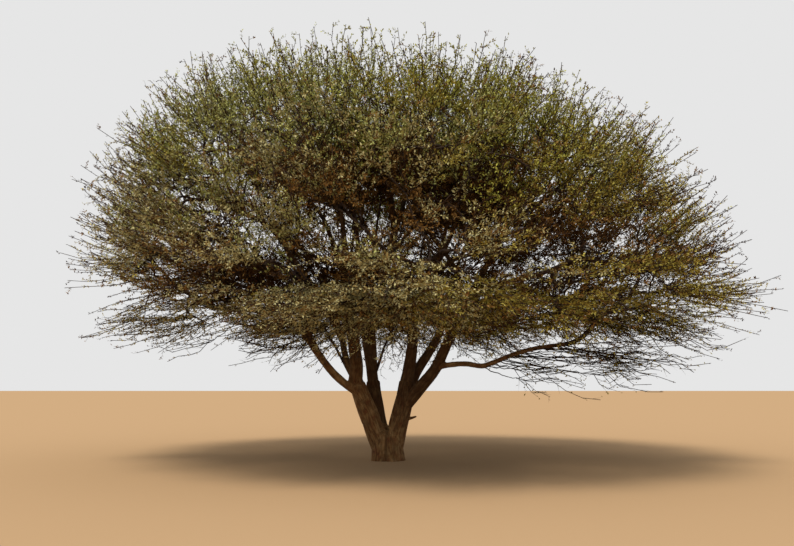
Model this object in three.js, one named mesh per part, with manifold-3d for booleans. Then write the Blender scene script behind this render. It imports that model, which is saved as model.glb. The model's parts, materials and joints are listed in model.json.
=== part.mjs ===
import * as THREE from "three";
import { mergeVertices } from "three/addons/utils/BufferGeometryUtils.js";
import Module from "manifold-3d";

// An umbrella-crowned acacia in millimetres, +Z up. The origin is the middle of the flat cut at ground level.
// +X runs to the right of the tree as it is usually seen and +Y away from the viewer.
const wasm = await Module();
wasm.setup();
const { Manifold, Mesh } = wasm;

const RADIAN = Math.PI / 180;
const GOLDEN_ANGLE = Math.PI * (3 - Math.sqrt(5));
const UP = new THREE.Vector3(0, 0, 1);
const ALONG = new THREE.Vector3(0, 1, 0);

// Pieces that meet are this far apart, and twigs and leaves keep further off what they don't grow on.
const CLEAR_GAP = 0.3;
const SPACE_MARGIN = 12;

// The crown: how far its skin stands from the heart, the place that every bough spreads from.
// It reaches further to the right, where its shoulder slopes, than to the left, where the shoulder is square.
const HEART = new THREE.Vector3(300, 0, 3200);
const REACH_RIGHT = 7200;
const REACH_LEFT = 7000;
const REACH_DEPTH = 6700;
const REACH_TOP = 5000;
const REACH_UNDER = 1300;
const SHOULDER_RIGHT = 2.1;
const SHOULDER_LEFT = 2.9;
const BRIM_RISE_RIGHT = -2.5 * RADIAN;
const BRIM_RISE_LEFT = 1 * RADIAN;

// The masses of foliage stand in four tiers: the rise of each tier seen from the heart, how many masses
// it has, and how far round from +X its first one stands. Their numbers run on from there through the back.
const TIERS = [
  { name: "top", rise: 90, count: 1, turn: 0 },
  { name: "upper", rise: 56, count: 6, turn: 20 },
  { name: "middle", rise: 28, count: 8, turn: 10 },
  { name: "low", rise: 5, count: 9, turn: -8 },
];
const SITE_SHARE = 0.62;
const BOUGH_TIP_SHARE = 0.42;

// The column: one short flared trunk below the fork, with root ridges and a domed top.
const COLUMN_HEIGHT = 640;
const COLUMN_FOOT = 60;
const COLUMN_LEAN = -15;
const COLUMN_RADIUS = 330;
const COLUMN_DOME = 3.5;
const FLARE_RADIUS = 34;
const FLARE_HEIGHT = 130;
const ROOT_RIDGES = 5;
const RIDGE_DEPTH = 18;

// The stems that the column parts into, and a broken stub on the right one: places along each and its radii.
const STEMS = {
  stem_left: {
    through: [[-60, 0, 150], [-270, -20, 618], [-500, -75, 1200], [-640, -160, 1560]],
    radii: [235, 212, 198, 168],
  },
  stem_back: {
    through: [[-90, 60, 300], [-215, 130, 850], [-290, 210, 1300], [-325, 300, 1620]],
    radii: [190, 180, 170, 150],
  },
  stem_right: {
    through: [[60, 0, 150], [190, 0, 618], [335, -20, 1200], [395, 0, 1620]],
    radii: [235, 205, 195, 160],
  },
  broken_stub: {
    through: [[330, -60, 840], [500, -85, 870], [600, -90, 905]],
    radii: [44, 34, 20],
  },
};

// The boughs that show below the crown. Each goes on from the end of a limb, or leaves its flank at a share
// of its length, and ends in the mass of its name or at the bend of the two long low ones.
const LEADING_BOUGHS = {
  upper_4: { from: "stem_left", through: [[-650, -300, 1930], [-700, -500, 2394]], radius: 158 },
  upper_3: { from: "stem_back", through: [[-400, 460, 2100], [-490, 700, 2600]], radius: 128 },
  upper_1: {
    from: "stem_right",
    through: [[465, 50, 2000], [525, 80, 2450], [540, 100, 2900]],
    radius: 145,
  },
  middle_8: {
    from: "stem_right",
    at: 0.62,
    through: [[717, -200, 1550], [985, -300, 1880], [1160, -420, 2250]],
    radius: 150,
  },
  top: { from: "stem_back", at: 0.8, through: [[-310, 420, 2150], [-330, 450, 2900]], radius: 85 },
  middle_2: {
    from: "stem_right",
    at: 0.72,
    through: [[620, 300, 1850], [850, 400, 2200], [1080, 550, 2580]],
    radius: 128,
  },
  low_6_inner: {
    from: "stem_left",
    at: 0.82,
    through: [[-1120, -430, 1794], [-1530, -600, 2340], [-1820, -680, 2720], [-2200, -750, 2950]],
    radius: 90,
    tipRadius: 70,
  },
  low_6: { from: "low_6_inner", through: [[-2700, -820, 3050], [-3500, -930, 3080]], radius: 70 },
  middle_5: {
    from: "stem_left",
    at: 0.9,
    through: [[-877, -100, 2092], [-970, 0, 2500], [-1050, 0, 2800]],
    radius: 82,
  },
  low_1_inner: {
    from: "middle_8",
    at: 0.25,
    through: [[1094, -380, 1925], [1594, -500, 1981], [1940, -570, 1935], [2140, -600, 2000]],
    radius: 64,
    tipRadius: 56,
  },
  low_1: {
    from: "low_1_inner",
    through: [[2710, -680, 2218], [3140, -720, 2310], [3600, -760, 2370]],
    radius: 55,
  },
};
const LIMBS_TO_THEIR_OWN_TIP = ["low_6_inner", "low_6", "low_1_inner", "low_1"];
const BOUGH_TIP_RADIUS = 46;

// A side bough leaves a leading one at about this angle, this share as thick.
const SIDE_BOUGH_SHARE = 0.62;
const SIDE_BOUGH_ANGLE = 42 * RADIAN;
const SIDE_BOUGH_BEND = 0.2;

// Sides round a limb and the length between its rings.
const COLUMN_SIDES = 20;
const COLUMN_STEP = 100;
const STEM_SIDES = 10;
const BOUGH_SIDES = 6;
const THIN_BOUGH_SIDES = 5;
const THIN_BOUGH_RADIUS = 90;
const LIMB_STEP = 560;
const MASS_STEM_STEP = 300;
const TWIG_SIDES = 3;
const BALL_STEP = 50;

// Twigs: how many ends they have in the whole crown, how many of those serve its skin, how the others are
// strewn inside, and how far towards its ends a twig runs before it forks.
const TWIG_ENDS = 132;
const SKIN_ENDS_SHARE = 0.6;
const INSIDE_FROM = 0.55;
const INSIDE_TO = 0.9;
const TIER_CROWDING = 1.35;
const BELOW_BRIM = 2 * RADIAN;
const TWIG_RADIUS = 22;
const TWIG_TIP_SHARE = 0.6;
const FORK_POWER = 1 / 2.3;
const FORK_REACH = 0.42;
const GROWTH_SEED = 5;

// Bare twigs that hang below the two long low boughs.
const HANGING_TWIGS = [
  { turn: -14 * RADIAN, spread: 22 * RADIAN, count: 5, from: 0.5, to: 0.86, drop: 1250 },
  { turn: 196 * RADIAN, spread: 18 * RADIAN, count: 2, from: 0.45, to: 0.62, drop: 1000 },
];

// Sprays of leaves, each drawn as one large flat leaf.
const LEAVES_PER_TWIG = 4;
const LEAF_LENGTH = 1600;
const LEAF_WIDTH = 1000;
const LEAF_THICKNESS = 34;
const LEAF_ROOT_SUNK = 12;
const LEAF_REACH = 0.86 * LEAF_LENGTH;
const LEAF_LIMIT = 1.05;
const LEAF_LEAN = 20 * RADIAN;
const LEAF_SPLAY = 70 * RADIAN;
const LEAF_OUTWARD = 0.35;
const LEAF_SPACING = 0.2;
const LEAF_ATTEMPTS = 30;

// Edges up to one of these sizes are taken out of a fused mass.
const TIDYING_SIZES = [0.4, 1, 0.1, 2, 0.05, 4];

function seededRandom(seed) {
  let state = seed >>> 0;
  return () => {
    state = (state + 0x6d2b79f5) >>> 0;
    let mixed = Math.imul(state ^ (state >>> 15), state | 1);
    mixed ^= mixed + Math.imul(mixed ^ (mixed >>> 7), mixed | 61);
    return ((mixed ^ (mixed >>> 14)) >>> 0) / 4294967296;
  };
}

const place = (x, y, z) => new THREE.Vector3(x, y, z);
const nowhere = () => place(0, 0, 0);
const mix = (from, to, share) => from + (to - from) * share;

// One closed body from a three.js geometry.
function solidFrom(geometry) {
  const bare = geometry.clone();
  bare.deleteAttribute("normal");
  bare.deleteAttribute("uv");
  const merged = mergeVertices(bare, 1e-3);
  const vertProperties = new Float32Array(merged.getAttribute("position").array);
  return new Manifold(
    new Mesh({ numProp: 3, vertProperties, triVerts: new Uint32Array(merged.index.array) }),
  );
}

// A limb through rings that each have a middle, a way along and a radius, and may have ridges.
// Grow makes the same limb larger all over, as a sleeve to cut its neighbours clear of it.
function limbSolid(rings, sides, grow = 0) {
  const steps = rings.length - 1;
  const geometry = new THREE.CylinderGeometry(1, 1, 1, sides, steps);
  const position = geometry.getAttribute("position");
  const sleeve = grow / Math.cos(Math.PI / sides);
  const side = nowhere().crossVectors(rings[0].along, Math.abs(rings[0].along.z) < 0.9 ? UP : ALONG);
  const frames = rings.map(({ along }) => {
    side.addScaledVector(along, -side.dot(along)).normalize();
    return [side.clone(), nowhere().crossVectors(along, side)];
  });
  for (let i = 0; i < position.count; i += 1) {
    const x = position.getX(i);
    const z = position.getZ(i);
    const order = Math.round((position.getY(i) + 0.5) * steps);
    const { middle, along, radius, ridge = 0 } = rings[order];
    const width = radius + ridge * Math.cos(ROOT_RIDGES * Math.atan2(z, x)) + sleeve;
    const end = order === 0 ? -grow : order === steps ? grow : 0;
    const at = middle
      .clone()
      .addScaledVector(frames[order][0], x * width)
      .addScaledVector(frames[order][1], -z * width)
      .addScaledVector(along, end);
    position.setXYZ(i, at.x, at.y, at.z);
  }
  return solidFrom(geometry);
}

function ringsAlong(curve, radiusAt, stepLength) {
  const steps = Math.max(2, Math.round(curve.getLength() / stepLength));
  return Array.from({ length: steps + 1 }, (_, i) => ({
    middle: curve.getPointAt(i / steps),
    along: curve.getTangentAt(i / steps),
    radius: radiusAt(i / steps),
  }));
}

// The way out from the heart, by the angle round from +X and the rise above level.
function outward(azimuth, rise) {
  const level = Math.cos(rise);
  return place(level * Math.cos(azimuth), level * Math.sin(azimuth), Math.sin(rise));
}

// How far the crown's skin stands from the heart in one direction.
function reach(azimuth, rise) {
  const right = (1 + Math.cos(azimuth)) / 2;
  const across = Math.cos(azimuth) > 0 ? REACH_RIGHT : REACH_LEFT;
  const level = 1 / Math.hypot(Math.cos(azimuth) / across, Math.sin(azimuth) / REACH_DEPTH);
  const power = mix(SHOULDER_LEFT, SHOULDER_RIGHT, right);
  const over = rise - mix(BRIM_RISE_LEFT, BRIM_RISE_RIGHT, right);
  const high = over > 0 ? REACH_TOP : REACH_UNDER;
  const sum = (Math.abs(Math.cos(over)) / level) ** power + (Math.abs(Math.sin(over)) / high) ** power;
  return sum ** (-1 / power);
}

function crownPoint(azimuth, rise, share) {
  return outward(azimuth, rise)
    .multiplyScalar(reach(azimuth, rise) * share)
    .add(HEART);
}

function insideCrown(point) {
  const way = point.clone().sub(HEART);
  const rise = Math.asin(way.z / way.length());
  return way.length() < reach(Math.atan2(way.y, way.x), rise) * LEAF_LIMIT;
}

// The middle of each mass and the place where its bough ends.
const masses = TIERS.flatMap(({ name, rise, count, turn }) =>
  Array.from({ length: count }, (_, i) => {
    const azimuth = (turn + (i * 360) / count) * RADIAN;
    return {
      name: count === 1 ? name : `${name}_${i + 1}`,
      site: crownPoint(azimuth, rise * RADIAN, SITE_SHARE),
      boughTip: crownPoint(azimuth, rise * RADIAN, BOUGH_TIP_SHARE),
      ends: [],
    };
  }),
);
const massNamed = (name) => masses.find((mass) => mass.name === name);

// The space of a mass is the part of the crown nearer to its own middle than to any other.
function insideSpace(point, mass) {
  return masses.every((other) => {
    if (other === mass) return true;
    const apart = other.site.distanceTo(mass.site);
    const nearer = point.distanceToSquared(other.site) - point.distanceToSquared(mass.site);
    return nearer / (2 * apart) > SPACE_MARGIN;
  });
}

// The largest body of a solid, with any sealed hollow filled.
function largestBody(solid) {
  return solid.decompose().reduce((best, body) => (body.volume() > best.volume() ? body : best));
}

// Radii given at even shares of a limb's length.
function taperThrough(radii) {
  const last = radii.length - 1;
  return (share) => {
    const step = Math.min(Math.floor(share * last), last - 1);
    return mix(radii[step], radii[step + 1], share * last - step);
  };
}

// True where every edge of the surface, by its place in space, belongs to just two faces.
function closesCleanly(solid) {
  const { vertProperties, triVerts } = solid.getMesh();
  const keyOf = (at) => Array.from(vertProperties.subarray(at * 3, at * 3 + 3), (v) => v.toFixed(3)).join();
  const sharing = new Map();
  for (let i = 0; i < triVerts.length; i += 3) {
    const keys = [...triVerts.subarray(i, i + 3)].map(keyOf);
    keys.forEach((key, j) => {
      const edge = [key, keys[(j + 1) % 3]].sort().join(" ");
      sharing.set(edge, (sharing.get(edge) ?? 0) + 1);
    });
  }
  return [...sharing.values()].every((faces) => faces === 2);
}

// A fused body with its tiny edges gone, at the first fineness that leaves it closing cleanly.
function tidied(solid) {
  const tries = TIDYING_SIZES.map((size) => largestBody(solid.simplify(size)));
  return tries.find(closesCleanly) ?? solid;
}

const limbs = [];
const limbNamed = (name) => limbs.find((limb) => limb.name === name);

// A limb with its solid, its sleeve and the balls that twigs are kept clear of.
function makeLimb(name, curve, radiusAt, rings, sides) {
  const balls = ringsAlong(curve, radiusAt, BALL_STEP);
  const solid = limbSolid(rings, sides);
  const sleeve = limbSolid(rings, sides, CLEAR_GAP);
  limbs.push({ name, curve, radiusAt, balls, solid, sleeve });
}

// The column: root ridges and a flare at the ground, a waist, and a domed top that lies between the stems.
const columnCurve = new THREE.LineCurve3(place(0, 0, -COLUMN_FOOT), place(COLUMN_LEAN, 0, COLUMN_HEIGHT));
const columnHeight = (share) => Math.max(share * (COLUMN_HEIGHT + COLUMN_FOOT) - COLUMN_FOOT, 0);
const columnFlare = (share) => Math.exp(-columnHeight(share) / FLARE_HEIGHT);
function columnRadius(share) {
  const dome = Math.sqrt(1 - 0.98 * (columnHeight(share) / COLUMN_HEIGHT) ** COLUMN_DOME);
  return COLUMN_RADIUS * dome + FLARE_RADIUS * columnFlare(share);
}
const columnRings = ringsAlong(columnCurve, columnRadius, COLUMN_STEP);
columnRings.forEach((ring, i) => {
  ring.ridge = RIDGE_DEPTH * columnFlare(i / (columnRings.length - 1));
});
makeLimb("column", columnCurve, columnRadius, columnRings, COLUMN_SIDES);

for (const [name, { through, radii }] of Object.entries(STEMS)) {
  const curve = new THREE.CatmullRomCurve3(through.map((xyz) => place(...xyz)));
  const radiusAt = taperThrough(radii);
  makeLimb(name, curve, radiusAt, ringsAlong(curve, radiusAt, LIMB_STEP), STEM_SIDES);
}

// The trunk is the column and the stems as one body, cut flat at the ground.
const trunkLimbs = limbs.slice();
const belowGround = solidFrom(new THREE.BoxGeometry(3000, 3000, 600).translate(0, 0, -300));
const trunk = largestBody(Manifold.union(trunkLimbs.map((limb) => limb.solid)).subtract(belowGround));

// A bough that goes on from another limb's end starts a gap beyond that end, square to it.
// One that leaves its flank starts inside it and is cut clear of it below.
function makeBough(name, { from, at = 1, through, radius, tipRadius = BOUGH_TIP_RADIUS }) {
  const parent = limbNamed(from);
  const heading = parent.curve.getTangentAt(at);
  const start = parent.curve.getPointAt(at);
  const places = through.map((xyz) => place(...xyz));
  if (!LIMBS_TO_THEIR_OWN_TIP.includes(name)) places.push(massNamed(name).boughTip);
  if (at === 1) {
    start.addScaledVector(heading, CLEAR_GAP * 1.1);
    places.unshift(start.clone().addScaledVector(heading, radius / 2));
  }
  const curve = new THREE.CatmullRomCurve3([start, ...places], false, "centripetal");
  const radiusAt = (share) => mix(radius, tipRadius, share);
  const rings = ringsAlong(curve, radiusAt, LIMB_STEP);
  if (at === 1) rings[0].along = heading;
  makeLimb(name, curve, radiusAt, rings, radius > THIN_BOUGH_RADIUS ? BOUGH_SIDES : THIN_BOUGH_SIDES);
}
for (const [name, bough] of Object.entries(LEADING_BOUGHS)) makeBough(name, bough);

// Every other mass is reached by a side bough. It leaves the leading bough and the place on it
// from which the way to the mass turns off most nearly at the usual angle and is short.
const leadingLimbs = limbs.slice(trunkLimbs.length);
for (const mass of masses) {
  if (limbNamed(mass.name)) continue;
  let best = { cost: Infinity };
  for (const parent of leadingLimbs) {
    for (let at = 0.3; at < 0.9; at += 0.1) {
      const start = parent.curve.getPointAt(at);
      const way = mass.boughTip.clone().sub(start);
      const heading = parent.curve.getTangentAt(at);
      const cost = way.length() * (1 + 1.5 * Math.abs(way.angleTo(heading) - SIDE_BOUGH_ANGLE));
      if (cost < best.cost) best = { parent, at, start, way, heading, cost };
    }
  }
  const { parent, at, start, way, heading } = best;
  const bend = start.addScaledVector(heading, way.length() * SIDE_BOUGH_BEND).addScaledVector(way, 0.25);
  const radius = Math.max(parent.radiusAt(at) * SIDE_BOUGH_SHARE, BOUGH_TIP_RADIUS * 1.25);
  makeBough(mass.name, { from: parent.name, at, through: [bend.toArray()], radius });
}

// Each bough is cut clear of the trunk and of every bough made before it.
const boughs = limbs.slice(trunkLimbs.length);
boughs.forEach((bough, i) => {
  const earlier = [...trunkLimbs, ...boughs.slice(0, i)].map((limb) => limb.sleeve);
  bough.solid = largestBody(bough.solid.subtract(Manifold.union(earlier)));
});

// Twig ends are dealt evenly over the crown by the golden angle. Most stand so that the leaves on them
// reach the skin, and the rest are strewn through the inside. Each belongs to the mass whose space it is in.
const random = seededRandom(GROWTH_SEED);
const brimRise = (azimuth) => mix(BRIM_RISE_LEFT, BRIM_RISE_RIGHT, (1 + Math.cos(azimuth)) / 2);

function dealTo(end, bare = false) {
  const nearest = masses.reduce((best, mass) =>
    end.distanceTo(mass.site) < end.distanceTo(best.site) ? mass : best,
  );
  nearest.ends.push(Object.assign(end, { bare }));
}

for (let i = 0; i < TWIG_ENDS; i += 1) {
  const azimuth = i * GOLDEN_ANGLE;
  const height = ((i + 0.5) / TWIG_ENDS) ** TIER_CROWDING;
  const rise = Math.asin(mix(Math.sin(brimRise(azimuth) - BELOW_BRIM), 1, height));
  const lot = random();
  const inside = mix(INSIDE_FROM, INSIDE_TO, (lot - SKIN_ENDS_SHARE) / (1 - SKIN_ENDS_SHARE));
  const end = crownPoint(azimuth, rise, lot < SKIN_ENDS_SHARE ? 1 : inside);
  dealTo(end.addScaledVector(outward(azimuth, rise), -LEAF_REACH));
}

for (const { turn, spread, count, from, to, drop } of HANGING_TWIGS) {
  for (let i = 0; i < count; i += 1) {
    const azimuth = turn + spread * (random() - 0.5);
    const end = crownPoint(azimuth, brimRise(azimuth), mix(from, to, (i + 0.5) / count));
    end.z -= drop * mix(0.6, 1, random());
    dealTo(end, true);
  }
}

// True where a straight piece, as a rounded rod, stays off every limb.
function clearOfLimbs(from, to, radius) {
  const rod = new THREE.Line3(from, to);
  const nearest = nowhere();
  return limbs.every(({ balls }) =>
    balls.every((ball) => {
      rod.closestPointToPoint(ball.middle, true, nearest);
      return nearest.distanceTo(ball.middle) > ball.radius + radius + SPACE_MARGIN;
    }),
  );
}

// A spray of leaves as one flat six-sided leaf that stands out from its root. Null where it has no room.
function leafSolid(root, heading, mass) {
  const leaf = new THREE.SphereGeometry(1, 3, 2);
  leaf.scale(LEAF_WIDTH / 2, LEAF_LENGTH / 2, LEAF_THICKNESS / 2);
  leaf.translate(0, LEAF_LENGTH / 2 - LEAF_ROOT_SUNK, 0);
  leaf.rotateY(random() * Math.PI);
  leaf.applyQuaternion(new THREE.Quaternion().setFromUnitVectors(ALONG, heading));
  leaf.translate(root.x, root.y, root.z);
  const corners = leaf.getAttribute("position");
  for (let i = 0; i < corners.count; i += 1) {
    const corner = nowhere().fromBufferAttribute(corners, i);
    if (!insideSpace(corner, mass) || !insideCrown(corner)) return null;
  }
  const tip = root.clone().addScaledVector(heading, LEAF_LENGTH - LEAF_ROOT_SUNK);
  return clearOfLimbs(root, tip, LEAF_WIDTH / 2) ? solidFrom(leaf) : null;
}

// The two parts of a group of twig ends: each end goes with the nearer of the two that stand
// furthest apart as seen from the fork.
function parted(ends, from) {
  const ways = ends.map((end) => end.clone().sub(from).normalize());
  let widest = { angle: -1 };
  ways.forEach((a, i) =>
    ways.slice(0, i).forEach((b, j) => {
      const angle = a.angleTo(b);
      if (angle > widest.angle) widest = { angle, i, j };
    }),
  );
  const { i, j } = widest;
  const nearFirst = (way) => way.angleTo(ways[i]) <= way.angleTo(ways[j]);
  return [ends.filter((_, k) => nearFirst(ways[k])), ends.filter((_, k) => !nearFirst(ways[k]))];
}

const thickness = (count) => TWIG_RADIUS * count ** FORK_POWER;
const outwardFrom = (point) => point.clone().sub(HEART).normalize();
const middleOf = (points) =>
  points.reduce((sum, point) => sum.add(point), nowhere()).divideScalar(points.length);

// A twig runs on from knot to knot towards the ends it serves, as thick as their number calls for.
// At each fork the larger part of the ends stays with it, and a new twig sets out for the others.
function growTwig(mass, knots, ends, twigs) {
  const from = knots[knots.length - 1].middle;
  const alone = ends.length === 1;
  const next = from.clone().lerp(middleOf(ends), alone ? 1 : FORK_REACH);
  const radius = alone ? TWIG_RADIUS * TWIG_TIP_SHARE : thickness(ends.length);
  if (!insideSpace(next, mass) || !clearOfLimbs(from, next, radius)) {
    if (knots.length > 1) twigs.push({ knots });
    return;
  }
  knots.push({ middle: next, radius });
  if (alone) {
    twigs.push({ knots, leafy: !ends[0].bare });
    return;
  }
  const [larger, smaller] = parted(ends, next).sort((a, b) => b.length - a.length);
  const root = { middle: next, radius: Math.min(radius / 2, thickness(smaller.length)) };
  growTwig(mass, knots, larger, twigs);
  growTwig(mass, [root], smaller, twigs);
}

function twigSolid(knots) {
  const last = knots.length - 1;
  const rings = knots.map(({ middle, radius }, i) => {
    const before = knots[Math.max(i - 1, 0)].middle;
    const after = knots[Math.min(i + 1, last)].middle;
    return { middle, radius, along: after.clone().sub(before).normalize() };
  });
  return limbSolid(rings, TWIG_SIDES);
}

const touches = (a, b) => {
  const [boxA, boxB] = [a.boundingBox(), b.boundingBox()];
  const apart = [0, 1, 2].some((i) => boxA.max[i] < boxB.min[i] || boxB.max[i] < boxA.min[i]);
  return !apart && !a.intersect(b).isEmpty();
};

// Leaves stand out from the end of a twig and from lower on it. Each tries several ways to stand and takes
// the first that has room, clear of every piece of the mass but its own twig.
function setLeaves(mass, { knots, solid }, pieces) {
  const [from, end] = knots.slice(-2).map((knot) => knot.middle);
  const run = end.clone().sub(from).normalize();
  const out = outwardFrom(end).lerp(run, LEAF_OUTWARD).normalize();
  const across = nowhere().crossVectors(out, UP).normalize();
  for (let i = 0; i < LEAVES_PER_TWIG; i += 1) {
    const root = end.clone().lerp(from, i * LEAF_SPACING);
    for (let attempt = 0; attempt < LEAF_ATTEMPTS; attempt += 1) {
      const lean = i === 0 ? random() * LEAF_LEAN : mix(LEAF_LEAN, LEAF_SPLAY, random());
      const heading = out.clone().applyAxisAngle(across, lean);
      heading.applyAxisAngle(out, random() * 2 * Math.PI);
      const leaf = leafSolid(root, heading, mass);
      if (leaf && pieces.every((piece) => piece === solid || !touches(piece, leaf))) {
        pieces.push(leaf);
        break;
      }
    }
  }
}

// A mass: its stem goes on from the tip of its bough, bends towards its twig ends and forks there.
for (const mass of masses) {
  const { curve } = limbNamed(mass.name);
  const heading = curve.getTangentAt(1);
  const foot = curve.getPointAt(1).addScaledVector(heading, CLEAR_GAP);
  const fork = foot.clone().lerp(middleOf(mass.ends), FORK_REACH).addScaledVector(heading, 120);
  const bend = foot.clone().addScaledVector(heading, foot.distanceTo(fork) / 2);
  const stem = new THREE.QuadraticBezierCurve3(foot, bend, fork);
  const radius = thickness(mass.ends.length) * 0.8;
  const rings = ringsAlong(stem, (share) => mix(BOUGH_TIP_RADIUS * 0.97, radius, share), MASS_STEM_STEP);
  const twigs = [];
  for (const part of parted(mass.ends, fork)) {
    growTwig(mass, [{ middle: fork, radius: radius / 2 }], part, twigs);
  }
  const pieces = [limbSolid(rings, THIN_BOUGH_SIDES)];
  for (const twig of twigs) {
    twig.solid = twigSolid(twig.knots);
    pieces.push(twig.solid);
  }
  for (const twig of twigs) {
    if (twig.leafy) setLeaves(mass, twig, pieces);
  }
  mass.solid = tidied(largestBody(Manifold.union(pieces)));
}

const tree = new THREE.Group();

function addNode(name, solid, color) {
  const mesh = solid.getMesh();
  const geometry = new THREE.BufferGeometry();
  geometry.setAttribute("position", new THREE.BufferAttribute(mesh.vertProperties, 3));
  geometry.setIndex(new THREE.BufferAttribute(mesh.triVerts, 1));
  geometry.computeVertexNormals();
  const node = new THREE.Mesh(geometry, new THREE.MeshStandardMaterial({ color, roughness: 0.9 }));
  node.name = name;
  tree.add(node);
}

const BARK_COLOR = 0x5b4a3c;
const LEAF_COLOR = 0x5d6534;
addNode("trunk", trunk, BARK_COLOR);
boughs.forEach((bough) => addNode(`bough_${bough.name}`, bough.solid, BARK_COLOR));
masses.forEach((mass) => addNode(`foliage_${mass.name}`, mass.solid, LEAF_COLOR));

export default tree;
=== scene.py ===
import json
import math

import bpy
import numpy as np
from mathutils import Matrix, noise

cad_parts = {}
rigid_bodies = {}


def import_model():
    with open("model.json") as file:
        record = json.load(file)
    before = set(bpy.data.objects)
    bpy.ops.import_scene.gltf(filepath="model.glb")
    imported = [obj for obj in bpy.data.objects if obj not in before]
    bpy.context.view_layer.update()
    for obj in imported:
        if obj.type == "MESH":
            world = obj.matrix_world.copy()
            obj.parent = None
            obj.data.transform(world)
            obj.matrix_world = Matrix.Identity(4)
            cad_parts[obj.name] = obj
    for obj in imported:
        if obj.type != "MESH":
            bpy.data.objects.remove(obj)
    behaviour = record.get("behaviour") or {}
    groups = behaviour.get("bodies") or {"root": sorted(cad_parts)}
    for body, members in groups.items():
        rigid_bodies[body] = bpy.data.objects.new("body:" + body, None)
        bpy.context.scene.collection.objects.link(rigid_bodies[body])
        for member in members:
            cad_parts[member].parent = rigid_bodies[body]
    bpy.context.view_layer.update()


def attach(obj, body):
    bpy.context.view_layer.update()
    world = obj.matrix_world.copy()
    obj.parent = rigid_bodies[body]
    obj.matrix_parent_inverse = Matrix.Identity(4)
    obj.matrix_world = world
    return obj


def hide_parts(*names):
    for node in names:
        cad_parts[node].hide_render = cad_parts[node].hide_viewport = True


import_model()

# The view. The tree stands alone on open ground and is seen from 17.2 m in front of it, at standing
# eye height, by a lens that is tilted up a little so that the crown fills the picture.
VIEW_DISTANCE = 17.2
EYE_HEIGHT = 1.55
IMAGE_WIDTH = 794
FOCAL_PIXELS = 809
TILT_PIXELS = 112
TRUNK_LEFT_OF_MIDDLE_PIXELS = 9
SENSOR_MM = 36.0
SIGHT = 500

bpy.ops.object.camera_add(
    location=(VIEW_DISTANCE * TRUNK_LEFT_OF_MIDDLE_PIXELS / FOCAL_PIXELS, -VIEW_DISTANCE, EYE_HEIGHT),
    rotation=(math.pi / 2 + math.atan(TILT_PIXELS / FOCAL_PIXELS), 0, 0),
)
camera = bpy.context.object
camera.data.sensor_width = SENSOR_MM
camera.data.lens = SENSOR_MM * FOCAL_PIXELS / IMAGE_WIDTH
camera.data.clip_end = SIGHT
bpy.context.scene.camera = camera
bpy.context.scene.view_settings.view_transform = "Standard"


# The ground and the sky. Both are plain and pale: a level floor the colour of dry sand, an even bright
# overcast sky, and the sun behind thin cloud, high on the viewer's side and a little to the left.
GROUND_WIDTH = 400
GROUND_COLOR = "a88d6e"
SKY_COLOR = "e6e6e6"
SKY_STRENGTH = 1.0
SUN_STRENGTH = 3.1
SUN_COLOR = "fff4e2"
SUN_WIDTH = math.radians(26)
SUN_HEIGHT = 30
SUN_TILT = math.radians(27)
SUN_TURN = math.radians(-22)


def linear(hex_color):
    """A colour of a screen, such as 'c9bfb0', as the light it stands for, with alpha 1."""
    shares = [int(hex_color[i:i + 2], 16) / 255 for i in (0, 2, 4)]
    return tuple(v / 12.92 if v < 0.04045 else ((v + 0.055) / 1.055) ** 2.4 for v in shares) + (1,)


def add_node(material, kind, inputs=None, **settings):
    """A node with its settings, its inputs set to a value or linked to another node's output."""
    tree = material.node_tree
    node = tree.nodes.new(kind)
    for name, value in settings.items():
        setattr(node, name, value)
    for name, value in (inputs or {}).items():
        if isinstance(value, bpy.types.NodeSocket):
            tree.links.new(value, node.inputs[name])
        else:
            node.inputs[name].default_value = value
    return node


def new_material(name):
    """An empty node material and its surface shader."""
    material = bpy.data.materials.new(name)
    material.use_nodes = True
    return material, material.node_tree.nodes["Principled BSDF"]


def make_matt(shader, roughness, specular):
    """Sets how rough a surface is and how much of the light it mirrors."""
    shader.inputs["Roughness"].default_value = roughness
    shader.inputs["Specular IOR Level"].default_value = specular


bpy.ops.mesh.primitive_plane_add(size=GROUND_WIDTH)
ground = bpy.context.object
ground.name = "ground"
raked_sand, shader = new_material("raked sand")
shader.inputs["Base Color"].default_value = linear(GROUND_COLOR)
make_matt(shader, 1.0, 0.0)
ground.data.materials.append(raked_sand)

bpy.ops.object.light_add(type="SUN", location=(0, 0, SUN_HEIGHT), rotation=(SUN_TILT, 0, SUN_TURN))
sun = bpy.context.object
sun.data.energy = SUN_STRENGTH
sun.data.angle = SUN_WIDTH
sun.data.color = linear(SUN_COLOR)[:3]

sky = bpy.data.worlds.new("overcast sky")
bpy.context.scene.world = sky
sky.use_nodes = True
sky.node_tree.nodes["Background"].inputs["Color"].default_value = linear(SKY_COLOR)
sky.node_tree.nodes["Background"].inputs["Strength"].default_value = SKY_STRENGTH


# The trunk: one short flared column with five root ridges, which parts at knee height into three stems,
# and the snag of a broken limb on the right one. It is old acacia wood under a thick furrowed bark.
# Its joints are grown together, so the limbs are made as one skin, and the bark's furrows run along it.
COLUMN_HEIGHT = 0.64
COLUMN_FOOT = 0.06
COLUMN_LEAN = -0.015
COLUMN_RADIUS = 0.33
COLUMN_DOME = 3.5
COLUMN_DOME_DEPTH = 0.98
FLARE_RADIUS = 0.034
FLARE_HEIGHT = 0.13
ROOT_RIDGES = 5
RIDGE_DEPTH = 0.018

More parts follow.
